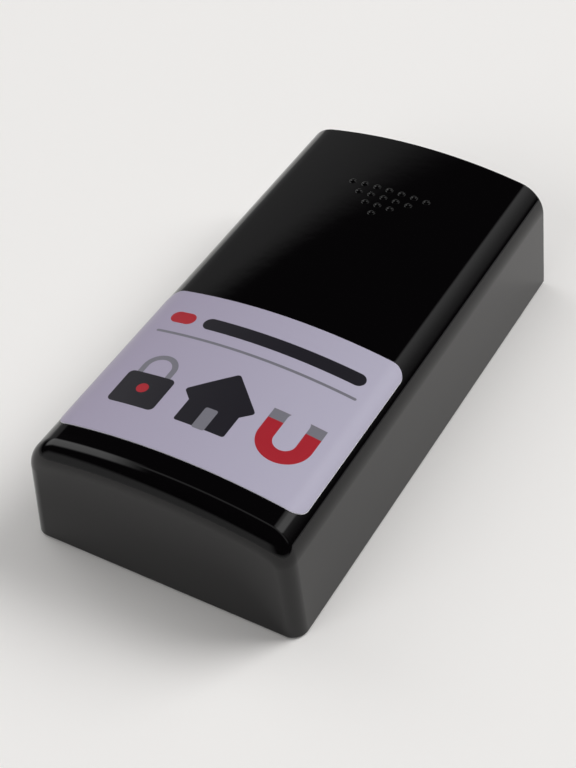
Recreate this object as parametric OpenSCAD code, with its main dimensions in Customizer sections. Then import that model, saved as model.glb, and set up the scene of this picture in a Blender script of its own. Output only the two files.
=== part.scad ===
// Magnetic key case: a crowned cover slides lengthways off a shallow tray that
// carries two pot magnets. Millimetres. X is across the case, Y runs along it
// from the rounded near end to the square far end, Z is up from the magnets'
// holding faces, and the origin is under the middle of the case.

/* [Case] */
// Length of the case, from the near wall to the square far end
case_length = 116; // [104:1:132]
// Width across the foot of the cover's side walls
foot_width = 61.5; // [58:0.5:68]
// Height from the magnets' faces to the middle of the crown
case_height = 28.6; // [26:0.2:34]
// Angle by which each side wall leans in above its foot
wall_lean = 4; // [2:0.5:5]
// Radius of the crown across the width
crown_radius = 124; // [100:2:180]
// Radius of the shoulders between the crown and the side walls
shoulder_radius = 7.2; // [6:0.2:8.4]
// Radius of the rounding that runs all round the near end
end_radius = 3.2; // [2.6:0.1:4]
// Wall thickness of the cover
cover_wall = 2; // [1.6:0.1:2.4]

/* [Rails] */
// Depth of the channel that each side wall holds for a tongue of the tray
rail_depth = 2.4; // [2:0.1:3]
// Thickness of the lip under each tongue
lip_thickness = 1.4; // [1:0.1:2]
// Thickness of the rib over each tongue
rib_thickness = 1.2; // [0.8:0.1:2]
// Thickness of the tray's tongues
tongue_thickness = 1.8; // [1.4:0.1:2.4]
// Running clearance above and below the tongues
tongue_gap = 0.2; // [0.15:0.05:0.3]
// Running clearance between the tray and the cover elsewhere
slide_gap = 0.3; // [0.25:0.05:0.5]
// Height by which each snap bump stands out of its tongue
bump_height = 0.2; // [0.1:0.05:0.2]
// Radius of each snap bump
bump_radius = 1.5; // [1:0.1:2]
// Distance from the far end to the snap bumps
bump_setback = 7; // [5:0.5:12]

/* [Tray] */
// Thickness of the tray's floor
floor_thickness = 1.8; // [1.4:0.1:2.4]
// Thickness of the tray's low walls
tray_wall = 1.6; // [1.2:0.1:2]
// Height of the tray's low walls above its underside
tray_depth = 9; // [8:0.5:12]
// Thickness of the wall that closes the far end
end_wall_thickness = 2.2; // [1.6:0.1:3]
// Thickness of the wells' sides and roofs around the magnets
well_wall = 1.6; // [1.2:0.1:2]
// Thickness of the gussets that brace the wells
gusset_thickness = 1.2; // [0.8:0.1:2]
// Radius of the tray's near corners
tray_corner = 2.5; // [1.5:0.1:3]

/* [Magnets] */
// Diameter of each steel cup
cup_diameter = 32; // [28:1:36]
// Height of each steel cup
cup_height = 7; // [6:0.2:8]
// Thickness of the cup's steel
cup_steel = 1.8; // [1.4:0.1:2]
// Distance from each end of the case to the centre of the nearer cup
cup_setback = 28; // [26:1:32]
// Height by which the cups stand proud of the tray's underside
standoff = 0.4; // [0.2:0.1:0.8]
// Clearance around each cup in its well
cup_gap = 0.15; // [0.1:0.05:0.25]
// Gap between the cup's steel and the ferrite ring
ring_gap = 0.6; // [0.4:0.1:1]
// Bore of the ferrite ring
ring_bore = 12; // [11:0.5:14]

/* [Rivets] */
// Diameter of the rivet's shank
rivet_shank = 4.8; // [4:0.1:5]
// Diameter of the rivet's head
rivet_head = 9; // [8:0.2:10]
// Height of the rivet's head
rivet_head_height = 1.6; // [1.2:0.1:2]
// Diameter of the rolled end that holds the rivet
rivet_roll = 7.4; // [6.6:0.1:8]
// Height of the rolled end
rivet_roll_height = 1.2; // [0.8:0.1:1.6]
// Radial clearance of the shank in its holes
rivet_gap = 0.1; // [0.05:0.05:0.2]
// Diameter of the washer under the rolled end
washer_diameter = 11; // [10:0.5:14]
// Thickness of the washer
washer_thickness = 0.8; // [0.6:0.1:1.2]

/* [Label] */
// Length of the label along the case
label_length = 43.2; // [30:0.2:46]
// Width of the label, straight across the case
label_width = 54.6; // [48:0.2:56]
// Distance from the near wall to the label
label_setback = 8.6; // [6:0.2:12]
// Thickness of the label
label_thickness = 0.2; // [0.1:0.05:0.3]
// Corner radius of the label
label_corner = 2.8; // [1:0.1:4]

/* [Grip] */
// Distance between neighbouring grip studs in a row
stud_pitch = 3; // [2.4:0.1:3.4]
// Distance between neighbouring rows of grip studs
row_pitch = 2.9; // [2.4:0.1:3.4]
// Diameter of each grip stud where it leaves the crown
stud_diameter = 1.6; // [1:0.1:2]
// Height of each grip stud
stud_height = 0.45; // [0.3:0.05:0.6]
// Number of rows in the arrow of studs
stud_rows = 4; // [2:1:5]
// Distance from the far end to the longest row of studs
stud_setback = 17.8; // [12:0.2:24]

/* [Hidden] */

// Facets of a whole turn, for arcs of the case, for big rounds and for small ones
arc_steps = 360;
round_steps = 96;
small_steps = 48;
// Distance that cutting shapes run past what they cut
overcut = 1;
beyond = 2 * case_length;
// Neighbouring pieces of the case's form overlap by this angle, and each stands this
// far inside the one above it, so that no two of their faces touch or graze.
seam_lap = 1;
seam_step = 0.03;
least_inner_radius = 0.6;

near_y = -case_length / 2;
far_y = case_length / 2;
foot_z = standoff;

// The wall's outer line: every point p on it has p * wall_normal = wall_distance.
wall_normal = [cos(wall_lean), sin(wall_lean)];
wall_distance = [foot_width / 2, foot_z] * wall_normal;

// The shoulder's centre touches the wall's line and the crown's circle from inside.
crown_z = case_height - crown_radius;
lean = tan(wall_lean);
centre_line = (wall_distance - shoulder_radius) / cos(wall_lean);
reach = crown_radius - shoulder_radius;
half_b = lean * centre_line + crown_z;
shoulder_z = (half_b + sqrt(pow(half_b, 2)
    - (1 + lean * lean) * (pow(centre_line, 2) + pow(crown_z, 2) - reach * reach)))
    / (1 + lean * lean);
shoulder_x = centre_line - lean * shoulder_z;
crown_start = atan2(shoulder_z - crown_z, shoulder_x);

// Half width of the wall's face at height z, for a surface this far inside the outer one.
function wall_x(z, inset) = (wall_distance - inset - z * wall_normal[1]) / wall_normal[0];

// Height of the outer surface of the crown at a distance x from the middle.
function crown_height(x) = crown_z + sqrt(pow(crown_radius, 2) - x * x);

inner_radius = max(end_radius - cover_wall, least_inner_radius);

// Rails of the cover and tongues of the tray
tongue_bottom = foot_z + lip_thickness + tongue_gap;
tongue_top = tongue_bottom + tongue_thickness;
rib_bottom = tongue_top + tongue_gap;
rail_x = wall_x(foot_z, cover_wall) - rail_depth;
rail_end = far_y - end_wall_thickness - slide_gap;
tongue_x = wall_x(tongue_top, cover_wall) - slide_gap;

bump_y = far_y - bump_setback;
bump_x = tongue_x - bump_radius + bump_height;

// Tray
tray_x = rail_x - slide_gap;
tray_near = near_y + cover_wall + slide_gap;
tray_floor = foot_z + floor_thickness;
cup_offset = case_length / 2 - cup_setback;
well_radius = cup_diameter / 2 + cup_gap;
well_roof = cup_height + well_wall;

// Rivets
seat_z = cup_height - cup_steel;
washer_z = well_roof;
roll_z = washer_z + washer_thickness;
hole_diameter = rivet_shank + 2 * rivet_gap;

// Label
label_near = near_y + label_setback;
label_far = label_near + label_length;

stud_sphere = (pow(stud_diameter / 2, 2) + pow(stud_height, 2)) / (2 * stud_height);

// Outline that a wedge or a slab is made from, drawn as [distance outwards, -y]
// with y from 0; the corner between the near end and the outer face is rounded.
module edge_outline(inner, outer, radius, run) {
    depth = outer - inner;
    translate([inner, -run]) square([depth - radius, run]);
    translate([inner, -run]) square([depth, run - radius]);
    if (radius > 0) translate([outer - radius, -radius]) intersection() {
        circle(radius, $fn = small_steps);
        square(radius);
    }
}

// Solid swept about a line along Y, from the local X axis by an angle, upwards if positive.
module wedge(inner, outer, radius, run, sweep) {
    rotate([90, 0, 0]) rotate_extrude(angle = sweep, $fn = arc_steps)
        edge_outline(inner, outer, radius, run);
}

// Frame on the crown's axis, turned to the line where the crown meets the shoulder
module crown_frame(y) {
    translate([0, y, crown_z]) rotate([0, -crown_start, 0]) children();
}

// Frame on the shoulder's axis, turned to the line where the shoulder meets the wall
module wall_frame(y) {
    crown_frame(y) translate([reach, 0, 0])
        rotate([0, crown_start - wall_lean, 0]) children();
}

// Arch over the crown and both shoulders, of this depth below a surface that is
// inset from the case's own.
module arch(inset, depth, radius, near, run) {
    crown = crown_radius - inset;
    shoulder = shoulder_radius - inset - seam_step;
    crown_frame(near)
        wedge(crown - depth, crown, radius, run, 2 * atan2(shoulder_x, shoulder_z - crown_z));
    both_sides() wall_frame(near)
        wedge(max(shoulder - depth, 0), shoulder, radius, run, crown_start - wall_lean + seam_lap);
}

// One of the walls, from below the foot to just above its line with the shoulder
module wall_slab(inset, radius, near, run, drop) {
    wall_frame(near) translate([0, 0, -drop])
        linear_extrude(drop + shoulder_radius * sin(seam_lap)) mirror([0, 1])
            edge_outline(-shoulder_radius, shoulder_radius - inset - 2 * seam_step, radius, run);
}

// The case's outer form, or one inset from it, with its near end rounded.
module case_form(inset, radius, from_y, to_y, floor_z) {
    run = to_y - from_y + overcut;
    core = (shoulder_radius - inset - radius) / 2;
    difference() {
        union() {
            arch(inset, 2 * shoulder_radius, radius, from_y, run);
            both_sides() wall_slab(inset, radius, from_y, run, shoulder_z - floor_z + overcut);
            block([-shoulder_x - core, from_y, floor_z - overcut],
                [shoulder_x + core, from_y + run, shoulder_z + core]);
        }
        block([-beyond, -beyond, -beyond], [beyond, beyond, floor_z]);
        block([-beyond, to_y, -beyond], [beyond, beyond, beyond]);
    }
}

module both_sides() {
    children();
    mirror([1, 0, 0]) children();
}

module block(low, high) {
    translate(low) cube(high - low);
}

// Lip below and rib above each tongue, drawn past the wall that they grow from.
module rails() {
    both_sides() {
        block([rail_x, near_y, foot_z],
            [foot_width / 2, rail_end, foot_z + lip_thickness]);
        block([rail_x, near_y, rib_bottom],
            [foot_width / 2, rail_end, rib_bottom + rib_thickness]);
    }
}

module grip_studs() {
    for (row = [0:stud_rows - 1], i = [-(stud_rows - 1 - row):stud_rows - 1 - row]) {
        translate([i * stud_pitch, far_y - stud_setback - row * row_pitch,
                crown_height(i * stud_pitch) + stud_height - stud_sphere])
            rotate([0, 0, 45]) sphere(stud_sphere, $fn = small_steps);
    }
}

// Grooves in the cover's walls that the snap bumps rest in when the case is shut
module snap_notches() {
    both_sides() translate([bump_x, bump_y, tongue_bottom - tongue_gap])
        cylinder(r = bump_radius + slide_gap, h = rib_bottom - tongue_bottom + tongue_gap,
            $fn = small_steps);
}

// Everything inside the cover: the space between the rails and the two notches.
module cover_hollow() {
    difference() {
        case_form(cover_wall, inner_radius, near_y + cover_wall,
            far_y + overcut, foot_z - overcut);
        rails();
    }
    snap_notches();
}

module cover() {
    color("#141416") {
        difference() {
            case_form(0, end_radius, near_y, far_y, foot_z);
            cover_hollow();
        }
        grip_studs();
    }
}

module rounded_rectangle(low, high, radius) {
    for (x = [low[0] + radius, high[0] - radius], y = [low[1] + radius, high[1] - radius])
        translate([x, y]) circle(radius, $fn = small_steps);
    translate([low[0] + radius, low[1]])
        square([high[0] - low[0] - 2 * radius, high[1] - low[1]]);
    translate([low[0], low[1] + radius])
        square([high[0] - low[0], high[1] - low[1] - 2 * radius]);
}

// Printed vinyl that lies on the crown and runs down over both shoulders.
module label() {
    color("#aaa6bb") intersection() {
        arch(-label_thickness, label_thickness, 0, label_near - overcut,
            label_length + 2 * overcut);
        translate([0, 0, shoulder_z]) linear_extrude(case_height)
            rounded_rectangle([-label_width / 2, label_near],
                [label_width / 2, label_far], label_corner);
    }
}

module at_magnets() {
    for (side = [-1, 1]) translate([0, side * cup_offset, 0]) children();
}

// Floor and low walls, open at the top and towards the wall that closes the far end
module tray_shell() {
    difference() {
        translate([0, 0, foot_z]) linear_extrude(tray_depth)
            tray_outline(0);
        translate([0, 0, tray_floor]) linear_extrude(tray_depth)
            tray_outline(tray_wall);
    }
}

module tray_outline(inset) {
    low = [-tray_x + inset, tray_near + inset];
    high = [tray_x - inset, far_y - end_wall_thickness / 2 + inset];
    radius = tray_corner - inset;
    translate([low[0] + radius, low[1]])
        square([high[0] - low[0] - 2 * radius, high[1] - low[1]]);
    translate([low[0], low[1] + radius])
        square([high[0] - low[0], high[1] - low[1] - radius]);
    for (x = [low[0] + radius, high[0] - radius])
        translate([x, low[1] + radius]) circle(radius, $fn = small_steps);
}

// Tongue on one side, with a lead-in at its near end and a snap bump near its far end.
module tongue() {
    lead_in = tray_corner;
    translate([bump_x, bump_y, tongue_bottom])
        cylinder(r = bump_radius, h = tongue_thickness, $fn = small_steps);
    translate([0, 0, tongue_bottom]) linear_extrude(tongue_thickness) polygon([
        [tray_x - tray_wall / 2, tray_near + lead_in],
        [tray_x, tray_near + lead_in],
        [tongue_x, tray_near + 2 * lead_in],
        [tongue_x, far_y - end_wall_thickness / 2],
        [tray_x - tray_wall / 2, far_y - end_wall_thickness / 2]]);
}

module tray() {
    color("#1a1a1c") difference() {
        union() {
            tray_shell();
            both_sides() tongue();
            case_form(cover_wall + slide_gap, 0, far_y - end_wall_thickness, far_y, foot_z);
            at_magnets() translate([0, 0, foot_z])
                cylinder(r = well_radius + well_wall, h = well_roof - foot_z, $fn = round_steps);
            both_sides() at_magnets()
                block([well_radius + well_wall / 2, -gusset_thickness / 2, foot_z],
                    [tray_x - tray_wall / 2, gusset_thickness / 2, cup_height]);
        }
        at_magnets() {
            translate([0, 0, -overcut])
                cylinder(r = well_radius, h = cup_height + overcut, $fn = round_steps);
            cylinder(d = hole_diameter, h = well_roof + overcut, $fn = small_steps);
        }
    }
}

// Steel cup that leads the ring's field round to its rim
module magnet_cup() {
    color("#b9bcc0") difference() {
        cylinder(d = cup_diameter, h = cup_height, $fn = round_steps);
        translate([0, 0, -overcut])
            cylinder(d = cup_diameter - 2 * cup_steel, h = seat_z + overcut, $fn = round_steps);
        cylinder(d = hole_diameter, h = cup_height + overcut, $fn = small_steps);
    }
}

module ferrite_ring() {
    color("#3b3b3d") difference() {
        cylinder(d = cup_diameter - 2 * cup_steel - 2 * ring_gap, h = seat_z, $fn = round_steps);
        translate([0, 0, -overcut]) cylinder(d = ring_bore, h = seat_z + 2 * overcut, $fn = small_steps);
    }
}

// Truss head in the ring's bore, shank through cup and well, and a rolled end
module rivet() {
    roll_top = roll_z + rivet_roll_height;
    color("#9fa3a8") rotate_extrude($fn = small_steps) polygon([
        [0, seat_z - rivet_head_height],
        [rivet_head / 4, seat_z - rivet_head_height],
        [rivet_head / 2, seat_z - rivet_head_height / 3],
        [rivet_head / 2, seat_z],
        [rivet_shank / 2, seat_z],
        [rivet_shank / 2, roll_z],
        [rivet_roll / 2, roll_z],
        [rivet_roll / 2, roll_z + rivet_roll_height / 2],
        [rivet_roll / 3, roll_top],
        [rivet_roll / 5, roll_top],
        [0, roll_z]]);
}

module rivet_washer() {
    color("#b9bcc0") translate([0, 0, washer_z]) difference() {
        cylinder(d = washer_diameter, h = washer_thickness, $fn = small_steps);
        translate([0, 0, -overcut])
            cylinder(d = hole_diameter, h = washer_thickness + 2 * overcut, $fn = small_steps);
    }
}

module front() {
    translate([0, -cup_offset, 0]) children();
}

module rear() {
    translate([0, cup_offset, 0]) children();
}

cover();
label();
tray();
front() magnet_cup();  // magnet_cup_front
rear() magnet_cup();  // magnet_cup_rear
front() ferrite_ring();  // ferrite_ring_front
rear() ferrite_ring();  // ferrite_ring_rear
front() rivet();  // rivet_front
rear() rivet();  // rivet_rear
front() rivet_washer();  // rivet_washer_front
rear() rivet_washer();  // rivet_washer_rear
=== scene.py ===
"""Key case: a gloss black cover that slides off a shallow tray with two pot magnets."""

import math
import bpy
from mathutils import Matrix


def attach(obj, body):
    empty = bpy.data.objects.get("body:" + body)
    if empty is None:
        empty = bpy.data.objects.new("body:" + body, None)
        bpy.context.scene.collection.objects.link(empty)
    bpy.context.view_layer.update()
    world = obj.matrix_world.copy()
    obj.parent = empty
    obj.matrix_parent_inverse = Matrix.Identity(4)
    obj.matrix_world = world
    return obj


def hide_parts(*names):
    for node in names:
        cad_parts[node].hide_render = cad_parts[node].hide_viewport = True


bl_info = {
    "name": "Key Case",
    "version": (1, 0, 0),
    "blender": (4, 5, 0),
    "location": "3D View > Sidebar > Key Case",
    "description": "Models a magnetic key case round its packed solids",
    "category": "Object",
}

from types import SimpleNamespace

import bmesh
import bpy
from mathutils import Matrix, Vector

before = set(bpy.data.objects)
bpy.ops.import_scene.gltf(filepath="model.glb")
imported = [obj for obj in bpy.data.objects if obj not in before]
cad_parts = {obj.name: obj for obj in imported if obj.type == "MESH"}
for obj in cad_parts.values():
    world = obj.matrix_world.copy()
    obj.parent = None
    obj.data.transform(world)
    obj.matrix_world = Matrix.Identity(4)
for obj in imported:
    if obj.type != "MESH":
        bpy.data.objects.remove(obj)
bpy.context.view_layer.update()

MICRON = 0.000001
MM = 0.001
CM = 0.01


def linear(code):
    """A colour written as sRGB hex, as the scene's linear values and full alpha."""
    parts = [int(code[i : i + 2], 16) / 255 for i in (1, 3, 5)]
    return (*[c / 12.92 if c <= 0.04045 else ((c + 0.055) / 1.055) ** 2.4 for c in parts], 1.0)


# ---------------------------------------------------------------- sizes and colours


def size(name, description, value):
    """A length that a user may change, written in millimetres."""
    return bpy.props.FloatProperty(
        name=name, description=description, default=value * MM, min=0.0, unit="LENGTH",
        subtype="DISTANCE", precision=5)


def amount(name, description, value):
    """A share of one that a user may change."""
    return bpy.props.FloatProperty(
        name=name, description=description, default=value, min=0.0, max=1.0, subtype="FACTOR")


def angle(name, description, degrees):
    """An angle that a user may change, written in degrees."""
    return bpy.props.FloatProperty(
        name=name, description=description, default=math.radians(degrees), unit="ROTATION",
        subtype="ANGLE")


def count(name, description, value, high):
    """A whole number that a user may change."""
    return bpy.props.IntProperty(
        name=name, description=description, default=value, min=1, max=high)


def colour(name, description, code):
    """A colour that a user may change, written as sRGB hex."""
    return bpy.props.FloatVectorProperty(
        name=name, description=description, default=linear(code), size=4, min=0.0, max=1.0,
        subtype="COLOR")


class CoverSizes(bpy.types.PropertyGroup):
    """Sizes of the sliding cover."""

    length: size("Length", "Length of the case from the near wall to the far mouth", 116.0)
    foot_width: size("Foot width", "Width across the foot of the side walls", 61.5)
    height: size("Height", "Height from the magnets' faces to the middle of the crown", 28.6)
    lean: angle("Wall lean", "Angle by which each side wall leans in", 4.0)
    crown_radius: size("Crown radius", "Radius of the crown across the width", 124.0)
    shoulder_radius: size("Shoulder radius", "Radius of the shoulders", 7.2)
    end_radius: size("End radius", "Radius of the near end's upright corners", 3.2)
    brow_radius: size("Brow radius", "Radius of the near end's upper edge on the crown", 4.6)
    wall: size("Wall", "Thickness of the moulded wall", 2.0)
    edge: size("Edge", "Radius of the small moulded edges", 0.22)
    rail_depth: size("Rail depth", "Depth of the channels for the tray's tongues", 2.4)
    lip: size("Lip", "Thickness of the lip under each tongue", 1.4)
    rib: size("Rib", "Thickness of the rib over each tongue", 1.2)
    stud_pitch: size("Stud pitch", "Distance between studs in a row", 3.0)
    row_pitch: size("Row pitch", "Distance between rows of studs", 2.9)
    stud_diameter: size("Stud diameter", "Diameter of a stud where it leaves the crown", 1.6)
    stud_height: size("Stud height", "Height of a stud", 0.45)
    stud_flare: size("Stud flare", "Reach of the flared foot round a stud", 0.16)
    stud_rows: count("Stud rows", "Number of rows in the arrow of studs", 4, 5)
    stud_setback: size("Stud setback", "Distance from the mouth to the longest row", 17.8)


class TraySizes(bpy.types.PropertyGroup):
    """Sizes of the tray."""

    floor: size("Floor", "Thickness of the tray's floor", 1.8)
    wall: size("Wall", "Thickness of the tray's low walls", 1.6)
    depth: size("Depth", "Height of the low walls above the underside", 9.0)
    end_wall: size("End wall", "Thickness of the wall that closes the mouth", 2.2)
    tongue: size("Tongue", "Thickness of the tongues", 1.8)
    tongue_gap: size("Tongue gap", "Clearance above and below the tongues", 0.2)
    slide_gap: size("Slide gap", "Clearance between tray and cover", 0.3)
    corner: size("Corner", "Radius of the near corners", 2.5)
    well_wall: size("Well wall", "Thickness of the wells' sides and roofs", 1.6)
    gusset: size("Gusset", "Thickness of the gussets", 1.2)
    bump_radius: size("Bump radius", "Radius of the snap bumps", 1.5)
    bump_height: size("Bump height", "Height of the snap bumps", 0.2)
    bump_setback: size("Bump setback", "Distance from the mouth to the bumps", 7.0)
    edge: size("Edge", "Radius of the small moulded edges", 0.2)


class MagnetSizes(bpy.types.PropertyGroup):
    """Sizes of the pot magnets and their rivets."""

    cup_diameter: size("Cup diameter", "Diameter of each steel cup", 32.0)
    cup_height: size("Cup height", "Height of each steel cup", 7.0)
    steel: size("Steel", "Thickness of the cup's steel", 1.8)
    setback: size("Setback", "Distance from each end to the nearer cup", 28.0)
    standoff: size("Standoff", "Height by which the cups stand proud of the tray", 0.4)
    cup_gap: size("Cup gap", "Clearance round each cup in its well", 0.15)
    ring_gap: size("Ring gap", "Gap between steel and ferrite", 0.6)
    ring_bore: size("Ring bore", "Bore of the ferrite ring", 12.0)
    shank: size("Shank", "Diameter of the rivet's shank", 4.8)
    head: size("Head", "Diameter of the rivet's head", 9.0)
    head_height: size("Head height", "Height of the rivet's head", 1.6)
    roll: size("Roll", "Diameter of the rolled end", 7.4)
    roll_height: size("Roll height", "Height of the rolled end", 1.2)
    rivet_gap: size("Rivet gap", "Clearance of the shank in its holes", 0.1)
    washer: size("Washer", "Diameter of the washer", 11.0)
    washer_thickness: size("Washer thickness", "Thickness of the washer", 0.8)
    dimple: size("Dimple", "Depth of the dimple in the rolled end below the washer's top", 0.3)
    cup_edge: size("Cup edge", "Radius of the drawn cup's edges", 0.45)
    ring_edge: size("Ring edge", "Radius of the ferrite ring's edges", 0.3)
    washer_edge: size("Washer edge", "Radius of the punched washer's edges", 0.12)


class LabelSizes(bpy.types.PropertyGroup):
    """Sizes of the label."""

    length: size("Length", "Length of the label along the case", 43.2)
    width: size("Width", "Width of the label straight across the case", 54.6)
    setback: size("Setback", "Distance from the near wall to the label", 8.6)
    thickness: size("Thickness", "Thickness of the vinyl", 0.2)
    corner: size("Corner", "Corner radius of the label", 2.8)


class Finishes(bpy.types.PropertyGroup):
    """Colours and gloss of the materials."""

    cover: colour("Cover", "Black of the gloss cover", "#060506")
    cover_gloss: amount("Cover roughness", "Roughness of the polished moulding", 0.05)
    tray: colour("Tray", "Black of the matte tray", "#17171a")
    # The ground runs from the left edge's colour to the right edge's. The right edge is lighter
    # partly from the print's own tint and partly from painted light for the key lamp on the right.
    vinyl: colour("Label ground", "Printed ground at the label's left edge", "#a29aaf")
    vinyl_right_tint_and_painted_light: colour("Light ground", "Printed ground at the label's right edge", "#b7b3c6")
    vinyl_core: colour("Label core", "White of the vinyl at its cut edge", "#e9e8ee")
    ink: colour("Ink", "Dark print on the label", "#1d1b22")
    accent: colour("Accent", "Red print on the label", "#a81f2c")
    silver_ink: colour("Silver ink", "Grey print on the label", "#77767f")
    nickel: colour("Nickel", "Plating of the magnet cups", "#c8c5be")
    ferrite: colour("Ferrite", "Sintered rings", "#34343a")
    rivet: colour("Rivet", "Plating of the rivets", "#b9b8b4")
    zinc: colour("Zinc", "Plating of the washers", "#b4b8be")


class StageSettings(bpy.types.PropertyGroup):
    """Camera and light."""

    azimuth: angle("Azimuth", "Camera's angle round the case", 32.04)
    elevation: angle("Elevation", "Camera's angle above the floor", 44.03)
    roll: angle("Roll", "Turn of the camera about its own line of sight", 3.88)
    distance: size("Distance", "Distance from the camera to the middle of the case", 345.6)
    aim_height: size("Aim height", "Height above the floor that the camera is set by", 13.05)
    shift_left: size("Shift left", "Shift of the camera to its left", 3.32)
    shift_down: size("Shift down", "Shift of the camera downwards in its own view", 6.19)
    lens: size("Lens", "Focal length on a frame 36 mm high", 76.82)
    floor_size: size("Floor size", "Length of each side of the floor", 8000.0)
    floor_colour: colour("Floor", "Pale floor", "#f7f5f3")
    lamp_distance: size("Lamp distance", "Distance from the case to each lamp", 6000.0)
    key_light: amount("Key light", "Share of the light from the right and behind", 0.37)
    top_light: amount("Top light", "Share of the light from overhead", 0.34)
    fill_light: amount("Fill light", "Share of the light from the front", 0.12)


def lines(scene):
    """The lines of the case that follow from its sizes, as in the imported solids."""
    c, t, m, b = scene.case_cover, scene.case_tray, scene.case_magnets, scene.case_label
    near, far, foot = -c.length / 2, c.length / 2, m.standoff
    normal = Vector((math.cos(c.lean), 0, math.sin(c.lean)))
    distance = normal.x * c.foot_width / 2 + normal.z * foot
    crown_z = c.height - c.crown_radius
    slope = math.tan(c.lean)
    centre_line = (distance - c.shoulder_radius) / normal.x
    half_b = slope * centre_line + crown_z
    reach = c.crown_radius - c.shoulder_radius
    square = 1 + slope * slope
    shoulder_z = (half_b + math.sqrt(
        half_b**2 - square * (centre_line**2 + crown_z**2 - reach**2))) / square
    shoulder_x = centre_line - slope * shoulder_z
    crown_start = math.atan2(shoulder_z - crown_z, shoulder_x)
    line = SimpleNamespace(
        near=near, far=far, foot=foot, normal=normal, crown_z=crown_z,
        shoulder=Vector((shoulder_x, 0, shoulder_z)), crown_start=crown_start, lean=c.lean)
    line.wall_x = lambda z, inset: (distance - inset - z * normal.z) / normal.x
    line.crown_height = lambda x: crown_z + math.sqrt(c.crown_radius**2 - x * x)
    line.tongue_low = foot + c.lip + t.tongue_gap
    line.tongue_high = line.tongue_low + t.tongue
    line.rib_low = line.tongue_high + t.tongue_gap
    line.rail_x = line.wall_x(foot, c.wall) - c.rail_depth
    line.end_wall_y = far - t.end_wall
    line.rail_end = line.end_wall_y - t.slide_gap
    line.tongue_x = line.wall_x(line.tongue_high, c.wall) - t.slide_gap
    line.bump = Vector((line.tongue_x - t.bump_radius + t.bump_height, far - t.bump_setback, 0))
    line.tray_x = line.rail_x - t.slide_gap
    line.tray_near = near + c.wall + t.slide_gap
    line.cup_y = c.length / 2 - m.setback
    line.well = m.cup_diameter / 2 + m.cup_gap
    line.well_roof = m.cup_height + t.well_wall
    line.seat = m.cup_height - m.steel
    line.hole = m.shank / 2 + m.rivet_gap
    line.label_near = near + b.setback
    line.label_far = line.label_near + b.length
    return line


# ---------------------------------------------------------------- modelling by hand


def put_down():
    """Leaves edit mode with nothing selected."""
    if bpy.context.object and bpy.context.object.mode != "OBJECT":
        bpy.ops.object.mode_set(mode="OBJECT")
    bpy.ops.object.select_all(action="DESELECT")


def take_up(piece):
    """Makes one piece the only one selected, and the active one."""
    put_down()
    piece.select_set(True)
    bpy.context.view_layer.objects.active = piece


def edit(piece, action="DESELECT"):
    """Enters edit mode on a piece with nothing in it selected, or else all of it."""
    take_up(piece)
    bpy.ops.object.mode_set(mode="EDIT")
    bpy.ops.mesh.select_all(action=action)


def pick(kind, test):
    """Selects those vertices, edges or faces of the open mesh that pass the test, and no others."""
    bpy.ops.mesh.select_mode(type=kind)
    bpy.ops.mesh.select_all(action="DESELECT")
    data = bpy.context.object.data
    mesh = bmesh.from_edit_mesh(data)
    for item in {"VERT": mesh.verts, "EDGE": mesh.edges, "FACE": mesh.faces}[kind]:
        if test(item):
            item.select_set(True)
    mesh.select_flush_mode()
    bmesh.update_edit_mesh(data)


def all_at(edge, axis, value):
    """Whether both ends of an edge lie at this place along an axis."""
    return all(abs(v.co[axis] - value) < 1e-6 for v in edge.verts)


def fresh(name, extent=(1, 1, 1)):
    """Names and stretches the primitive just added, and puts its place and turn into its mesh."""
    piece = bpy.context.object
    piece.name = piece.data.name = name
    piece.scale = extent
    bpy.ops.object.transform_apply(location=True, rotation=True, scale=True)
    return piece


def block(name, low, high):
    """A box between two corners, ready to be shaped."""
    put_down()
    low, high = Vector(low), Vector(high)
    bpy.ops.mesh.primitive_cube_add(size=1, location=(low + high) / 2)
    return fresh(name, high - low)


def drum(name, radius, low, high, steps, centre=(0, 0)):
    """A round blank between two heights, ready to be shaped."""
    put_down()
    bpy.ops.mesh.primitive_cylinder_add(
        vertices=steps, radius=radius, depth=high - low, location=(*centre, (low + high) / 2))
    return fresh(name)


def modify(piece, kind, **settings):
    """Adds a modifier, sets it and applies it."""
    take_up(piece)
    modifier = piece.modifiers.new(kind.title(), kind)
    for key, value in settings.items():
        setattr(modifier, key, value)
    bpy.ops.object.modifier_apply(modifier=modifier.name)


def combine(piece, tool, operation):
    """Joins, cuts or trims a piece by another, which is used up."""
    modify(piece, "BOOLEAN", object=tool, operation=operation, solver="EXACT")
    bpy.data.objects.remove(tool)


def clean_up(reach=1e-6):
    """Merges the open mesh's doubles, turns its faces outwards and leaves edit mode."""
    bpy.ops.mesh.select_mode(type="VERT")
    bpy.ops.mesh.select_all(action="SELECT")
    bpy.ops.mesh.remove_doubles(threshold=reach)
    bpy.ops.mesh.normals_make_consistent(inside=False)
    put_down()


def melt(piece):
    """Dissolves the edges that cuts and joints leave in flat faces, and merges slivers' ends."""
    edit(piece, "SELECT")
    bpy.ops.mesh.dissolve_limited(angle_limit=math.radians(0.15))
    clean_up(0.02 * MM)


def level_foot(piece, foot):
    """Brings back to the foot's plane what a rounding pushed below it."""
    edit(piece)
    pick("VERT", lambda v: v.co.z < foot)
    bpy.ops.transform.resize(value=(1, 1, 0), center_override=(0, 0, foot))
    put_down()


def cut_level(piece, foot):
    """Cuts a piece off at the foot's plane and closes the cut."""
    edit(piece, "SELECT")
    bpy.ops.mesh.bisect(
        plane_co=(0, 0, foot), plane_no=(0, 0, 1), use_fill=True, clear_inner=True)
    clean_up()


def soften(piece, radius, segments=3):
    """Rounds a piece's sharp edges and shades it smoothly between them."""
    modify(piece, "BEVEL", width=radius, segments=segments, limit_method="ANGLE",
           angle_limit=math.radians(35), miter_outer="MITER_ARC", use_clamp_overlap=False)
    take_up(piece)
    bpy.ops.object.shade_smooth_by_angle(angle=math.radians(50))
    modify(piece, "WEIGHTED_NORMAL", keep_sharp=True, weight=50)


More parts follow.
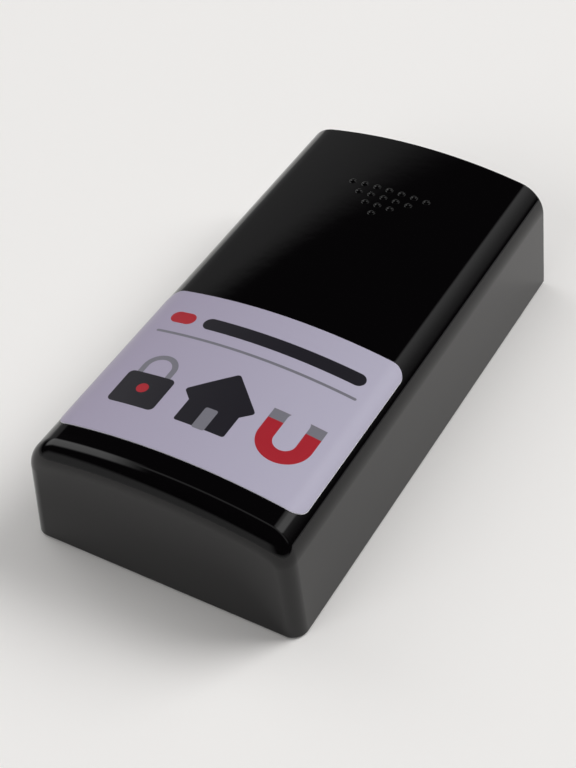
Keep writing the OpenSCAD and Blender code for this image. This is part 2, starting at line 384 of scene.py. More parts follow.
def outline(name, points):
    """A line in the XZ plane, drawn from one vertex that is extruded from point to point."""
    put_down()
    bpy.ops.mesh.primitive_plane_add(size=MM, location=points[0])
    piece = fresh(name)
    bpy.ops.object.mode_set(mode="EDIT")
    bpy.ops.mesh.select_all(action="SELECT")
    bpy.ops.mesh.merge(type="CENTER")
    for here, there in zip(points, points[1:]):
        bpy.ops.mesh.extrude_vertices_move(
            TRANSFORM_OT_translate={"value": Vector(there) - Vector(here)})
    return piece


def turned(name, points, steps=96):
    """A piece spun about the Z axis from the line through these [radius, height] points."""
    # A line that starts off the axis is closed, and one that starts on it ends on it too.
    if points[0][0] > 1e-7:
        points = [*points, points[0]]
    piece = outline(name, [Vector((r, 0, z)) for r, z in points])
    bpy.ops.mesh.select_all(action="SELECT")
    bpy.ops.mesh.spin(steps=steps, angle=math.tau, center=(0, 0, 0), axis=(0, 0, 1),
                      use_auto_merge=True)
    clean_up()
    return piece


def move_mesh(piece, offset):
    """Moves a piece's mesh, and not its object."""
    edit(piece, "SELECT")
    bpy.ops.transform.translate(value=offset)
    put_down()


def copy_of(piece, name):
    """A copy of a piece with a mesh of its own."""
    take_up(piece)
    bpy.ops.object.duplicate(linked=False)
    twin = bpy.context.object
    twin.name = twin.data.name = name
    return twin


def join(first, others):
    """Joins pieces of one moulding into the first."""
    put_down()
    for other in others:
        other.select_set(True)
    first.select_set(True)
    bpy.context.view_layer.objects.active = first
    bpy.ops.object.join()


def map_plan(piece, centre):
    """Gives a turned piece a UV map in plan, in centimetres from its own axis."""
    layer = piece.data.uv_layers.new(name="Plan")
    for loop in piece.data.loops:
        at = piece.data.vertices[loop.vertex_index].co
        layer.data[loop.index].uv = ((at.x - centre[0]) / CM, (at.y - centre[1]) / CM)


def hand_over(piece, body, node, slot, *finishes):
    """Gives a finished piece its materials and body, and hides the imported node that it stands
    for.
    """
    piece.data.materials.clear()
    for finish in finishes:
        piece.data.materials.append(finish)
    put_down()
    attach(piece, body)
    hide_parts(node)


# ---------------------------------------------------------------- finishes


def new_finish(name, inputs):
    """A new material whose shader has these inputs, and its node tree."""
    material = bpy.data.materials.new(name)
    material.use_nodes = True
    shader = material.node_tree.nodes["Principled BSDF"]
    for socket, value in inputs.items():
        shader.inputs[socket].default_value = value
    return material, material.node_tree


def add(tree, kind, feeds=None, **settings):
    """Adds a shader node, sets it, and fills or links its sockets, by name or number."""
    node = tree.nodes.new("ShaderNode" + kind)
    for key, value in settings.items():
        setattr(node, key, value)
    for socket, value in (feeds or {}).items():
        if isinstance(value, bpy.types.NodeSocket):
            tree.links.new(value, node.inputs[socket])
        else:
            node.inputs[socket].default_value = value
    return node


def drive(tree, socket, output):
    """Links an output to one of the shader's inputs."""
    tree.links.new(output, tree.nodes["Principled BSDF"].inputs[socket])


def on_object(tree):
    """The place on the object itself, in metres."""
    return add(tree, "TexCoord").outputs["Object"]


def noise(tree, scale, detail, place=None):
    """A soft random pattern, on the object itself unless another place is given."""
    return add(tree, "TexNoise", {
        "Vector": place or on_object(tree), "Scale": scale, "Detail": detail}).outputs["Fac"]


def roughen(tree, pattern, low, high, span=(0.3, 0.7)):
    """Spreads a span of the pattern's values between two values of roughness."""
    rough = add(tree, "MapRange", {
        "Value": pattern, "From Min": span[0], "From Max": span[1], "To Min": low, "To Max": high})
    drive(tree, "Roughness", rough.outputs["Result"])


def emboss(tree, pattern, strength, microns):
    """Raises and sinks the surface by a pattern, with its depth in microns."""
    bump = add(tree, "Bump", {
        "Height": pattern, "Strength": strength, "Distance": microns * MICRON})
    drive(tree, "Normal", bump.outputs["Normal"])


def mix(tree, share, first, second):
    """A colour between two others."""
    return add(tree, "Mix", {"Factor": share, "A": first, "B": second},
               data_type="RGBA").outputs["Result"]


def mottle(tree, pattern, colour, share):
    """Colours the surface between a colour and this share of it."""
    dark = (*[c * share for c in colour[:3]], 1.0)
    drive(tree, "Base Color", mix(tree, pattern, colour, dark))


def gloss_moulded_abs(scene):
    """ABS moulded against polished steel: near-black, wet-looking, with a faint orange peel."""
    f = scene.case_finishes
    material, tree = new_finish("gloss_moulded_abs", {"Base Color": f.cover, "IOR": 1.42})
    # The polish varies a little in patches about two centimetres across.
    patches = noise(tree, 45.0, 3.0)
    roughen(tree, patches, f.cover_gloss - 0.02, f.cover_gloss + 0.03)
    # Orange peel about 2.5 mm from crest to crest and a few microns deep
    emboss(tree, noise(tree, 400.0, 1.0), 0.25, 20)
    return material


def textured_moulded_abs(scene):
    """ABS moulded against spark-eroded steel: a fine, even, matte grain."""
    f = scene.case_finishes
    material, tree = new_finish("textured_moulded_abs", {"Base Color": f.tray, "IOR": 1.53})
    roughen(tree, noise(tree, 70.0, 4.0), 0.42, 0.52)
    # The spark grain is near 0.1 mm, and is drawn at 0.3 mm so that it shows.
    emboss(tree, noise(tree, 3300.0, 2.0), 0.5, 40)
    return material


def cut_vinyl(scene):
    """The white core of the label's vinyl, which shows only where it was die cut."""
    f = scene.case_finishes
    material, tree = new_finish("cut_vinyl", {"Base Color": f.vinyl_core})
    # The torn grain of the cut, drawn 0.4 mm across
    roughen(tree, noise(tree, 2500.0, 2.0), 0.45, 0.65, (0, 1))
    return material


def printed_vinyl(scene):
    """Printed vinyl under a satin laminate: a lilac grey ground with plain pictograms."""
    f = scene.case_finishes
    material, tree = new_finish("printed_vinyl", {"IOR": 1.5})
    # The label's UV map is in centimetres from its middle, and the print in millimetres.
    sheet = add(tree, "UVMap", uv_map="Sheet").outputs["UV"]
    layout = add(tree, "Mapping", {
        "Vector": sheet, "Scale": (10, 10, 0)}, vector_type="POINT").outputs["Vector"]

    # The ground grows lighter from left to right. Part of this is the print's own tint, and part is
    # painted light standing in for the key lamp on the right.
    across = add(tree, "SeparateXYZ", {0: layout}).outputs["X"]
    tint_and_painted_light_share = add(tree, "MapRange", {"Value": across, "From Min": -26.0, "From Max": 26.0})
    ground = mix(tree, tint_and_painted_light_share.outputs["Result"], f.vinyl, f.vinyl_right_tint_and_painted_light)

    # Rounded boxes, each printed over those before it: ink, middle, half sizes, corner and turn
    lock, house, magnet = Vector((-15.5, -6.0)), Vector((0.5, -7.0)), Vector((16.5, -6.0))
    prints = [
        # A bar, a tab and a rule across the far half
        (f.ink, (4.0, 13.5), (18.5, 1.7), 1.7, 0),
        (f.accent, (-19.5, 13.5), (2.9, 1.7), 1.7, 0),
        (f.silver_ink, (0.0, 8.6), (23.0, 0.35), 0.35, 0),
        # Padlock: a ring, with the ground inside it, then the body and its round hole
        (f.silver_ink, lock + Vector((0, 2.6)), (3.9, 5.4), 3.9, 0),
        (ground, lock + Vector((0, 2.6)), (2.6, 4.1), 2.6, 0),
        (f.ink, lock + Vector((0, -2.5)), (5.4, 4.6), 1.2, 0),
        (f.accent, lock + Vector((0, -2.0)), (1.3, 1.3), 1.3, 0),
        # House: a turned square behind a box, then the door
        (f.ink, house + Vector((0, 2.0)), (5.6, 5.6), 0.7, 45),
        (f.ink, house + Vector((0, -1.8)), (5.6, 4.4), 0.6, 0),
        (f.silver_ink, house + Vector((0, -3.6)), (1.4, 2.9), 0.5, 0),
        # Magnet: a bow, its two poles, the ground between them, and the ground past their ends
        (f.accent, magnet, (5.8, 7.6), 5.8, 0),
        (f.silver_ink, magnet + Vector((0, 3.1)), (5.8, 1.3), 0.1, 0),
        (ground, magnet + Vector((0, 0.6)), (2.4, 5.0), 2.4, 0),
        (ground, magnet + Vector((0, 6.4)), (7.0, 2.0), 0.1, 0),
    ]
    blur = 0.04
    paint = ground
    for ink, middle, half, corner, turn in prints:
        local = add(tree, "Mapping", {
            "Vector": layout, "Location": (*middle, 0), "Rotation": (0, 0, math.radians(turn))},
            vector_type="TEXTURE")
        folded = add(tree, "VectorMath", {
            0: local.outputs["Vector"]}, operation="ABSOLUTE")
        past = add(tree, "VectorMath", {
            0: folded.outputs["Vector"], 1: (half[0] - corner, half[1] - corner, 0)},
            operation="SUBTRACT")
        outside = add(tree, "VectorMath", {
            0: past.outputs["Vector"], 1: (0, 0, 0)}, operation="MAXIMUM")
        away = add(tree, "VectorMath", {0: outside.outputs["Vector"]}, operation="LENGTH")
        share = add(tree, "MapRange", {
            "Value": away.outputs["Value"], "From Min": corner + blur,
            "From Max": corner - blur}, interpolation_type="SMOOTHSTEP")
        paint = mix(tree, share.outputs["Result"], paint, ink)
    drive(tree, "Base Color", paint)
    # Laminate: satin, with the faint texture that vinyl takes from its liner, about 0.8 mm
    liner = noise(tree, 12.0, 2.0, sheet)
    roughen(tree, liner, 0.3, 0.4, (0, 1))
    emboss(tree, liner, 0.3, 20)
    return material


def drawn_plated_steel(scene):
    """Deep-drawn steel, nickel plated: satin, with faint rings from the press and turning."""
    f = scene.case_finishes
    material, tree = new_finish("drawn_plated_steel", {"Base Color": f.nickel, "Metallic": 1.0})
    plan = add(tree, "UVMap", uv_map="Plan").outputs["UV"]
    # Rings about 0.5 mm apart
    away = add(tree, "VectorMath", {0: plan}, operation="LENGTH").outputs["Value"]
    rings = add(tree, "TexNoise", {"W": away, "Scale": 20.0, "Detail": 3.0},
                noise_dimensions="1D").outputs["Fac"]
    smears = noise(tree, 160.0, 4.0)
    both = add(tree, "Math", {0: rings, 1: smears}, operation="MULTIPLY")
    roughen(tree, both.outputs["Value"], 0.2, 0.38, (0.1, 0.45))
    emboss(tree, rings, 0.35, 30)
    return material


def ground_ferrite(scene):
    """Sintered ferrite with ground faces: charcoal, dull, with fine pits and a faint lustre."""
    material, tree = new_finish("ground_ferrite", {"IOR": 2.2})
    place = on_object(tree)
    # Grains and pits, drawn 0.4 mm across
    grains = noise(tree, 2600.0, 3.0, place)
    mottle(tree, grains, scene.case_finishes.ferrite, 0.55)
    # Grinding lines run one way across the face, drawn 0.3 mm apart.
    stretched = add(tree, "Mapping", {
        "Vector": place, "Rotation": (0, 0, math.radians(27)), "Scale": (120, 3300, 120)})
    grind = noise(tree, 1.0, 3.0, stretched.outputs["Vector"])
    roughen(tree, grind, 0.42, 0.62)
    height = add(tree, "Math", {0: grind, 1: grains}, operation="ADD")
    emboss(tree, height.outputs["Value"], 0.4, 30)
    return material


def headed_plated_steel(scene):
    """Cold-headed steel, bright plated: smooth, with small dents from the tool."""
    f = scene.case_finishes
    material, tree = new_finish("headed_plated_steel", {"Base Color": f.rivet, "Metallic": 1.0})
    # Dents about 1.1 mm across
    dents = noise(tree, 900.0, 3.0)
    roughen(tree, dents, 0.18, 0.34)
    emboss(tree, dents, 0.3, 30)
    return material


def punched_zinc_steel(scene):
    """Punched sheet steel, zinc plated: blue-grey with a soft frosting."""
    material, tree = new_finish("punched_zinc_steel", {"Metallic": 1.0})
    # Crystals of the frosting, drawn 0.7 mm across
    frost = noise(tree, 1400.0, 4.0)
    mottle(tree, frost, scene.case_finishes.zinc, 0.8)
    roughen(tree, frost, 0.3, 0.48)
    emboss(tree, frost, 0.25, 20)
    return material


def matt_floor(scene):
    """A plain matt floor."""
    return new_finish("matt_floor", {
        "Base Color": scene.case_stage.floor_colour, "Roughness": 0.9,
        "Specular IOR Level": 0.0})[0]


# ---------------------------------------------------------------- pieces


def skin(name, line, sizes, stand, low, near, far):
    """The case's outer skin, standing off it by so much: wall, shoulder and crown, mirrored."""
    shoulder_steps, crown_steps = 24, 28
    foot = Vector((line.wall_x(low, -stand), 0, low))
    tangent = line.shoulder + line.normal * (sizes.shoulder_radius + stand)
    middle = (foot + tangent) / 2
    put_down()
    bpy.ops.mesh.primitive_plane_add(
        size=1, location=(middle.x, (near + far) / 2, middle.z),
        rotation=(0, -math.pi / 2 - line.lean, 0))
    piece = fresh(name, ((tangent - foot).length, far - near, 1))
    edit(piece)
    pick("EDGE", lambda e: all_at(e, 2, tangent.z))
    bpy.ops.mesh.spin(steps=shoulder_steps, angle=line.crown_start - line.lean,
                      center=line.shoulder, axis=(0, 1, 0))
    bpy.ops.mesh.spin(steps=crown_steps, angle=math.pi / 2 - line.crown_start,
                      center=(0, 0, line.crown_z), axis=(0, 1, 0))
    put_down()
    modify(piece, "MIRROR", use_axis=(True, False, False), merge_threshold=1e-6)
    return piece


def round_near_end(cover, line, c, low):
    """Rounds the near end: the brow's radius on the crown eases into the corners' own."""
    corner_share = c.end_radius / c.brow_radius
    crown_turn, wall_turn = math.pi / 2 - line.crown_start, math.pi / 2 - line.lean
    weights = cover.data.attributes.new("bevel_weight_edge", "FLOAT", "EDGE")
    for edge in cover.data.edges:
        ends = [cover.data.vertices[i].co for i in edge.vertices]
        if any(abs(end.y - line.near) > 1e-6 for end in ends):
            continue
        if all(abs(end.z - low) < 1e-6 for end in ends):
            continue
        middle = (ends[0] + ends[1]) / 2
        turn = math.atan2(abs(middle.x) - line.shoulder.x, middle.z - line.shoulder.z)
        along = min(1.0, max(0.0, (turn - crown_turn) / (wall_turn - crown_turn)))
        ease = along * along * (3 - 2 * along)
        weights.data[edge.index].value = 1 + (corner_share - 1) * ease
    modify(cover, "BEVEL", width=c.brow_radius, segments=14, limit_method="WEIGHT",
           use_clamp_overlap=False)


def grip_stud(c):
    """One stud: a low dome with a flared foot, standing on the plane Z = 0."""
    put_down()
    radius, height = c.stud_diameter / 2, c.stud_height
    ball = (radius * radius + height * height) / (2 * height)
    # The foot starts a little inside the crown, so that no gap shows under it.
    level = -0.06 * MM
    last = radius + c.stud_flare
    bpy.ops.mesh.primitive_circle_add(
        vertices=28, radius=last, fill_type="NGON", location=(0, 0, level))
    stud = fresh("stud")
    edit(stud, "SELECT")
    # Two rings ease the flare into the dome, and the others climb the dome.
    rings = [(radius + 0.06 * MM, 0.015 * MM), (radius, 0.05 * MM)]
    dome_start = math.asin((radius - 0.03 * MM) / ball)
    dome_rings = 8
    for step in range(dome_rings):
        turn = dome_start * (1 - step / dome_rings)
        rings.append((ball * math.sin(turn), height - ball * (1 - math.cos(turn))))
    for reach, up in rings:
        bpy.ops.mesh.extrude_region_move(TRANSFORM_OT_translate={"value": (0, 0, up - level)})
        share = reach / last
        bpy.ops.transform.resize(value=(share, share, 1), center_override=(0, 0, 0))
        last, level = reach, up
    bpy.ops.mesh.merge(type="CENTER")
    pick("VERT", lambda v: v.co.xy.length < 1e-7)
    bpy.ops.transform.translate(value=(0, 0, height - level))
    clean_up(1e-7)
    return stud


class KEYCASE_OT_cover(bpy.types.Operator):
    """Models the sliding cover with its rails, notches and grip studs"""

    bl_idname = "keycase.cover"
    bl_label = "Cover"

    def execute(self, context):
        scene = context.scene
        c, t = scene.case_cover, scene.case_tray
        line = lines(scene)
        cover = self.shell(line, c)
        for side in (-1, 1):
            self.add_channel(cover, side, line, c, t)
        melt(cover)
        soften(cover, c.edge)
        level_foot(cover, line.foot)
        join(cover, self.studs(line, c))
        hand_over(cover, "cover", "cover", "cover_plastic", gloss_moulded_abs(scene))
        return {"FINISHED"}

    def shell(self, line, c):
        """The moulded wall, closed and rounded at the near end, open at the far end and foot."""
        below_foot = line.foot - 3 * MM
        cover = skin("cover_shell", line, c, 0.0, below_foot, line.near, line.far)
        edit(cover)
        pick("EDGE", lambda e: all_at(e, 1, line.near))
        bpy.ops.mesh.edge_face_add()
        clean_up()
        round_near_end(cover, line, c, below_foot)
        # The rounding leaves slivers where its radius changes, which the wall can't follow.
        edit(cover)
        clean_up(0.08 * MM)
        modify(cover, "SOLIDIFY", thickness=c.wall, offset=-1, use_even_offset=True,
               use_quality_normals=True)
        cut_level(cover, line.foot)
        return cover

    def add_channel(self, cover, side, line, c, t):
        """Adds one side's lip and rib, and cuts the notch for the snap bump between them."""
        wall_middle = c.wall / 2
        for low, high in ((line.foot, line.foot + c.lip), (line.rib_low, line.rib_low + c.rib)):
            inner = side * line.rail_x
            outer = side * (line.wall_x(high, c.wall) + wall_middle)
            rail = block("rail", (min(inner, outer), line.near + wall_middle, low),
                         (max(inner, outer), line.rail_end, high))
            combine(cover, rail, "UNION")
        notch = drum("notch", t.bump_radius + t.slide_gap, line.tongue_low - t.tongue_gap,
                     line.rib_low, 32, (side * line.bump.x, line.bump.y))
        combine(cover, notch, "DIFFERENCE")

    def studs(self, line, c):
        """The arrow of studs, whose rows grow shorter towards the near end."""
        stud = grip_stud(c)
        studs = []
        for row in range(c.stud_rows):
            y = line.far - c.stud_setback - row * c.row_pitch
            reach = c.stud_rows - 1 - row
            for place in range(-reach, reach + 1):
                x = place * c.stud_pitch
                twin = copy_of(stud, "stud_copy")
                twin.location = (x, y, line.crown_height(x))
                twin.rotation_euler.y = math.asin(x / c.crown_radius)
                bpy.ops.object.transform_apply(location=True, rotation=True, scale=True)
                bpy.ops.object.shade_smooth()
                studs.append(twin)
        bpy.data.objects.remove(stud)
        return studs


class KEYCASE_OT_label(bpy.types.Operator):
    """Models the printed vinyl label that lies on the crown and both shoulders"""

    bl_idname = "keycase.label"
    bl_label = "Label"

    def execute(self, context):
        scene = context.scene
        c, b = scene.case_cover, scene.case_label
        line = lines(scene)
        # A larger sheet of film is laid on the case, and the label is die cut from it.
        margin, drop = MM, 4 * MM
        label = skin("label_vinyl", line, c, 0.0, line.shoulder.z - drop,
                     line.label_near - margin, line.label_far + margin)
        edit(label)
        clean_up()
        modify(label, "SOLIDIFY", thickness=b.thickness, offset=1, use_even_offset=True,
               use_quality_normals=True)
        half, above = b.width / 2, c.height + 5 * MM
        cutter = block("cutter", (-half, line.label_near, line.shoulder.z),
                       (half, line.label_far, above))
        edit(cutter)
        pick("EDGE", lambda e: abs(e.verts[0].co.z - e.verts[1].co.z) > MM)
        bpy.ops.mesh.bevel(offset=b.corner, segments=12, affect="EDGES", clamp_overlap=False)
        put_down()
        combine(label, cutter, "INTERSECT")
        self.map_sheet(label, line, c)
        take_up(label)
        bpy.ops.object.shade_smooth_by_angle(angle=math.radians(40))
        modify(label, "WEIGHTED_NORMAL", keep_sharp=True, weight=50)
        hand_over(label, "cover", "label", "label_film", printed_vinyl(scene), cut_vinyl(scene))
        for face in label.data.polygons:
            # The cut edges look sideways or along the case, and the print looks up.
            face.material_index = int(abs(face.normal.y) > 0.3 or face.normal.z < 0.3)
        return {"FINISHED"}

    def map_sheet(self, label, line, c):
        """Gives the label a UV map of the film laid flat, in centimetres from its middle."""
        layer = label.data.uv_layers.new(name="Sheet")
        crown_turn = math.pi / 2 - line.crown_start
        crown_x = c.crown_radius * math.sin(crown_turn)
        middle_y = (line.label_near + line.label_far) / 2
        for loop in label.data.loops:
            at = label.data.vertices[loop.vertex_index].co
            if abs(at.x) <= crown_x:
                along = c.crown_radius * math.asin(abs(at.x) / c.crown_radius)
            else:
                turn = math.atan2(abs(at.x) - line.shoulder.x, at.z - line.shoulder.z)
                along = c.crown_radius * crown_turn + c.shoulder_radius * (turn - crown_turn)
            layer.data[loop.index].uv = (
                math.copysign(along, at.x) / CM, (at.y - middle_y) / CM)


class KEYCASE_OT_tray(bpy.types.Operator):
    """Models the tray with its tongues, wells, gussets and end wall"""

    bl_idname = "keycase.tray"
    bl_label = "Tray"

    def execute(self, context):
        scene = context.scene
        c, t = scene.case_cover, scene.case_tray
        line = lines(scene)
        tray = self.trough(line, t)
        combine(tray, self.end_wall(line, c, t), "UNION")
        for side in (-1, 1):
            combine(tray, self.tongue(side, line, t), "UNION")
        for side in (-1, 1):
            self.add_well(tray, side * line.cup_y, line, t, scene.case_magnets.cup_height)
        melt(tray)
        soften(tray, t.edge)
        level_foot(tray, line.foot)
        hand_over(tray, "base", "tray", "tray_plastic", textured_moulded_abs(scene))
        return {"FINISHED"}

    def trough(self, line, t):
        """The floor and the low walls, with the near corners rounded."""
        tray = block("tray_moulding", (-line.tray_x, line.tray_near, line.foot),
                     (line.tray_x, line.end_wall_y + t.end_wall / 2, line.foot + t.depth))
        edit(tray)
        pick("EDGE", lambda e: all_at(e, 1, line.tray_near) and e.calc_length() < t.depth * 1.01)
        bpy.ops.mesh.bevel(offset=t.corner, segments=10, affect="EDGES", clamp_overlap=False)
        pick("FACE", lambda f: f.normal.z > 0.9)
        bpy.ops.mesh.inset(thickness=t.wall, depth=0, use_even_offset=True)
        bpy.ops.mesh.extrude_region_move(
            TRANSFORM_OT_translate={"value": (0, 0, t.floor - t.depth)})
        put_down()
        return tray

    def end_wall(self, line, c, t):
        """The wall that closes the mouth: the cover's section, less its wall and the gap."""
        inset = c.wall + t.slide_gap
        end = skin("end_wall", line, c, -inset, line.foot - MM, line.end_wall_y, line.far)
        edit(end)
        for y in (line.end_wall_y, line.far):
            pick("EDGE", lambda e: all_at(e, 1, y))
            bpy.ops.mesh.edge_face_add()
        clean_up()
        cut_level(end, line.foot)
        return end

    def tongue(self, side, line, t):
        """One tongue that runs in the cover's channel, with a lead-in corner and its snap bump."""
        start = line.tray_near + t.corner
        tongue = block("tongue", (line.tray_x - t.wall / 2, start, line.tongue_low),
                       (line.tongue_x, line.end_wall_y + t.end_wall / 2, line.tongue_high))
        edit(tongue)
        pick("EDGE", lambda e: all_at(e, 1, start) and all_at(e, 0, line.tongue_x))
        bpy.ops.mesh.bevel(offset=line.tongue_x - line.tray_x, affect="EDGES", segments=1)
        bump = drum("bump", t.bump_radius, line.tongue_low, line.tongue_high, 48,
                    (line.bump.x, line.bump.y))
        combine(tongue, bump, "UNION")
        if side < 0:
            edit(tongue, "SELECT")
            bpy.ops.transform.resize(value=(-1, 1, 1), center_override=(0, 0, 0))
            bpy.ops.mesh.normals_make_consistent(inside=False)
            put_down()
        return tongue

    def add_well(self, tray, y, line, t, cup_height):
        """Adds a round well for a magnet, with a gusset on each side and a hole for the rivet."""
        well = drum("well", line.well + t.well_wall, line.foot, line.well_roof, 96, (0, y))
        combine(tray, well, "UNION")
        for hand in (-1, 1):
            near_x = hand * (line.well + t.well_wall / 2)
            far_x = hand * (line.tray_x - t.wall / 2)
            gusset = block("gusset", (min(near_x, far_x), y - t.gusset / 2, line.foot),
                           (max(near_x, far_x), y + t.gusset / 2, cup_height))
            combine(tray, gusset, "UNION")
        pocket = drum("pocket", line.well, line.foot - MM, cup_height, 96, (0, y))
        combine(tray, pocket, "DIFFERENCE")
        hole = drum("hole", line.hole, line.foot, line.well_roof + MM, 48, (0, y))
        combine(tray, hole, "DIFFERENCE")


def pair(scene, piece, base, slot, finish):
    """Sets a piece made on the Z axis at the front magnet, and a copy of it at the rear one."""
    line = lines(scene)
    twin = copy_of(piece, base + "_rear_piece")
    piece.name = piece.data.name = base + "_front_piece"
    for one, side, end in ((piece, -1, "_front"), (twin, 1, "_rear")):
        centre = (0, side * line.cup_y)
        move_mesh(one, (*centre, 0))
        map_plan(one, centre)
        hand_over(one, "base", base + end, slot, finish)


class KEYCASE_OT_magnets(bpy.types.Operator):
    """Models the two steel cups and the ferrite rings in them"""

    bl_idname = "keycase.magnets"
    bl_label = "Pot magnets"

    def execute(self, context):
        scene = context.scene
        m = scene.case_magnets
        line = lines(scene)
        outer, inner = m.cup_diameter / 2, m.cup_diameter / 2 - m.steel
        cup = turned("cup", [
            (inner, 0), (outer, 0), (outer, m.cup_height), (line.hole, m.cup_height),
            (line.hole, line.seat), (inner, line.seat)])
        soften(cup, m.cup_edge, 4)
        pair(scene, cup, "magnet_cup", "cup_steel", drawn_plated_steel(scene))
        ring = turned("ring", [
            (m.ring_bore / 2, 0), (inner - m.ring_gap, 0), (inner - m.ring_gap, line.seat),
            (m.ring_bore / 2, line.seat)])
        soften(ring, m.ring_edge, 2)
        pair(scene, ring, "ferrite_ring", "ferrite", ground_ferrite(scene))
        return {"FINISHED"}


class KEYCASE_OT_rivets(bpy.types.Operator):
    """Models the rivets that hold the cups, and the washers under their rolled ends"""

    bl_idname = "keycase.rivets"
    bl_label = "Rivets and washers"

    def execute(self, context):
        scene = context.scene
        m = scene.case_magnets
        line = lines(scene)
        roll_z = line.well_roof + m.washer_thickness
        head, shank, roll = m.head / 2, m.shank / 2, m.roll / 2
        low = line.seat - m.head_height
        # The head is a low dome on a short upright rim.
        dome_height, dome_steps = 0.67 * m.head_height, 8
        dome = [(head * math.sin(a), low + dome_height * (1 - math.cos(a)))
                for a in [math.pi / 2 * i / dome_steps for i in range(dome_steps + 1)]]
        # The rolled end is a fat ring round a dimple.
        crest, belly, lip_steps = 0.62 * roll, 0.45 * m.roll_height, 10
        lip = [(crest + (roll - crest) * math.cos(a),
                roll_z + belly + (m.roll_height - belly) * math.sin(a))
               for a in [math.pi * i / lip_steps for i in range(lip_steps + 1)]]
        dimple, bottom = 0.12 * roll, roll_z - m.dimple
        rivet = turned("rivet", [
            *dome, (head, line.seat), (shank, line.seat), (shank, roll_z), (roll, roll_z),
            *lip, (dimple, bottom), (0, bottom)], 64)
        take_up(rivet)
        bpy.ops.object.shade_smooth_by_angle(angle=math.radians(40))
        pair(scene, rivet, "rivet", "rivet_steel", headed_plated_steel(scene))
        washer = turned("washer", [
            (line.hole, line.well_roof), (m.washer / 2, line.well_roof),
            (m.washer / 2, roll_z), (line.hole, roll_z)], 64)
        soften(washer, m.washer_edge, 2)
        pair(scene, washer, "rivet_washer", "rivet_steel", punched_zinc_steel(scene))
        return {"FINISHED"}


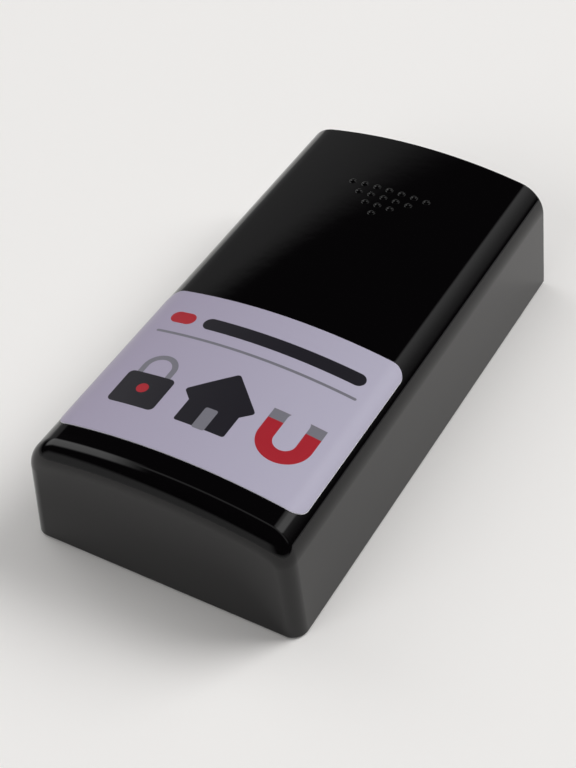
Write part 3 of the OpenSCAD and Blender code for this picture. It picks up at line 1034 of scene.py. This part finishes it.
class KEYCASE_OT_stage(bpy.types.Operator):
    """Sets the floor, the light and the camera"""

    bl_idname = "keycase.stage"
    bl_label = "Stage"

    def execute(self, context):
        scene = context.scene
        s = scene.case_stage
        put_down()
        bpy.ops.mesh.primitive_plane_add(size=s.floor_size)
        floor = fresh("floor")
        floor.data.materials.append(matt_floor(scene))
        # The lamps give the light, and the cards in the world give what the gloss reflects.
        far = s.lamp_distance
        self.light("key_softbox", (0.52, 0.54, 0.66), far, (3.3, 3.0), s.key_light)
        self.light("top_softbox", (-0.05, 0.0, 1.0), far, (7.8, 6.6), s.top_light)
        self.light("fill_softbox", (-0.25, -0.8, 0.55), far, (4.0, 3.0), s.fill_light)
        self.world(scene)
        self.camera(scene, s)
        scene.view_settings.view_transform = "Standard"
        return {"FINISHED"}

    def light(self, name, way, far, extent, share):
        """A soft lamp so far off, which alone gives a flat white this share of its light."""
        way = Vector(way).normalized()
        put_down()
        bpy.ops.object.light_add(type="AREA", location=far * way)
        lamp = bpy.context.object
        lamp.name = lamp.data.name = name
        lamp.data.shape = "RECTANGLE"
        lamp.data.size, lamp.data.size_y = extent
        lamp.data.energy = share * math.pi**2 * far**2 / way.z
        lamp.rotation_euler = (-way).to_track_quat("-Z", "Y").to_euler()
        lamp.visible_glossy = False

    def world(self, scene):
        """A dark studio with pale cards round it, and a grey horizon."""
        world = bpy.data.worlds.new("studio")
        world.use_nodes = True
        scene.world = world
        tree = world.node_tree
        way = add(tree, "TexCoord").outputs["Generated"]
        parts = add(tree, "SeparateXYZ", {0: way}).outputs
        slope = add(tree, "Math", {0: parts["Z"], 1: parts["Y"]}, operation="DIVIDE")
        across = add(tree, "Math", {0: parts["X"], 1: parts["Y"]}, operation="ADD")
        axes = {"x": parts["X"], "y": parts["Y"], "z": parts["Z"],
                "slope": slope.outputs["Value"], "x+y": across.outputs["Value"]}
        # Each card has a radiance, and edges that fade in between two places along an axis.
        cards = [
            # The dark studio
            (0.006, []),
            # A sheet behind on the left, which gives the crown its sheen
            (0.26, [("x", 0.1, -0.65), ("y", 0.2, 0.4), ("slope", 0.89, 0.75)]),
            # A softbox behind on the right, and its bright middle, for the right shoulder's strip
            (0.9, [("x", 0.08, 0.2), ("x", 0.9, 0.1), ("y", 0.35, 0.5), ("z", 0.1, 0.3)]),
            (1.8, [("x", 0.1, 0.35), ("x", 0.6, 0.5), ("y", 0.3, 0.45), ("y", 0.62, 0.57),
                   ("z", 0.5, 0.6)]),
            # A grey card in front
            (0.5, [("y", -0.35, -0.6), ("z", 0.62, 0.42), ("x", 0.5, 0.0)]),
            # The walls low down, left dark behind on the right, and the rim of the floor's paper
            (0.35, [("z", 0.2, 0.08), ("x+y", 1.0, 0.7)]),
            (0.6, [("z", 0.07, 0.05)]),
            # A softbox on the left, and a narrow one beside it, for the near edge's strip
            (1.6, [("x", -0.45, -0.62), ("y", -0.12, 0.05), ("y", 0.52, 0.4), ("z", 0.3, 0.45)]),
            (0.5, [("x", -0.6, -0.5), ("y", 0.24, 0.29), ("y", 0.4, 0.35), ("z", 0.3, 0.5)]),
        ]
        total = None
        for radiance, edges in cards:
            light = radiance
            for axis, start, end in edges:
                light = add(tree, "MapRange", {
                    "Value": axes[axis], "From Min": start, "From Max": end, "To Max": light},
                    interpolation_type="SMOOTHSTEP").outputs["Result"]
            total = light if total is None else add(
                tree, "Math", {0: total, 1: light}, operation="MAXIMUM").outputs["Value"]
        background = tree.nodes["Background"]
        background.inputs["Color"].default_value = (1, 1, 1, 1)
        tree.links.new(total, background.inputs["Strength"])

    def camera(self, scene, s):
        """The camera at the photograph's own angle."""
        centre = Vector((0, 0, s.aim_height))
        back = Vector((math.sin(s.azimuth) * math.cos(s.elevation),
                       -math.cos(s.azimuth) * math.cos(s.elevation), math.sin(s.elevation)))
        ahead = -back
        right = ahead.cross(Vector((0, 0, 1))).normalized()
        down = ahead.cross(right)
        across = math.cos(s.roll) * right + math.sin(s.roll) * down
        below = -math.sin(s.roll) * right + math.cos(s.roll) * down
        bpy.ops.object.camera_add()
        camera = bpy.context.object
        camera.name = "camera"
        place = centre - s.shift_left * across + s.shift_down * below - s.distance * ahead
        turn = Matrix((across, -below, back)).transposed().to_4x4()
        camera.matrix_world = Matrix.Translation(place) @ turn
        camera.data.sensor_fit = "VERTICAL"
        camera.data.sensor_height = 36.0
        camera.data.sensor_width = 36.0
        camera.data.lens = s.lens / MM
        camera.data.clip_start, camera.data.clip_end = 0.01, 50
        scene.camera = camera


class KEYCASE_PT_panel(bpy.types.Panel):
    """Lists the pieces of the key case"""

    bl_idname = "KEYCASE_PT_panel"
    bl_label = "Key Case"
    bl_space_type = "VIEW_3D"
    bl_region_type = "UI"
    bl_category = "Key Case"

    def draw(self, context):
        layout = self.layout
        for name in GROUPS:
            box = layout.box()
            group = getattr(context.scene, name)
            box.label(text=name.replace("case_", "").title())
            for key in group.__annotations__:
                box.prop(group, key)
        for operator in OPERATORS:
            layout.operator(operator.bl_idname)


GROUPS = {
    "case_cover": CoverSizes, "case_tray": TraySizes, "case_magnets": MagnetSizes,
    "case_label": LabelSizes, "case_finishes": Finishes, "case_stage": StageSettings,
}
OPERATORS = [
    KEYCASE_OT_stage, KEYCASE_OT_cover, KEYCASE_OT_label, KEYCASE_OT_tray, KEYCASE_OT_magnets,
    KEYCASE_OT_rivets,
]


def register():
    """Registers the classes and hangs the settings on the scene."""
    for kind in [*GROUPS.values(), *OPERATORS, KEYCASE_PT_panel]:
        bpy.utils.register_class(kind)
    for name, kind in GROUPS.items():
        setattr(bpy.types.Scene, name, bpy.props.PointerProperty(type=kind))


def unregister():
    """Takes back what register did."""
    for name in GROUPS:
        delattr(bpy.types.Scene, name)
    for kind in reversed([*GROUPS.values(), *OPERATORS, KEYCASE_PT_panel]):
        bpy.utils.unregister_class(kind)


def main():
    """Builds the stage and every piece."""
    register()
    for operator in OPERATORS:
        group, name = operator.bl_idname.split(".")
        getattr(getattr(bpy.ops, group), name)()


if __name__ == "__main__":
    main()
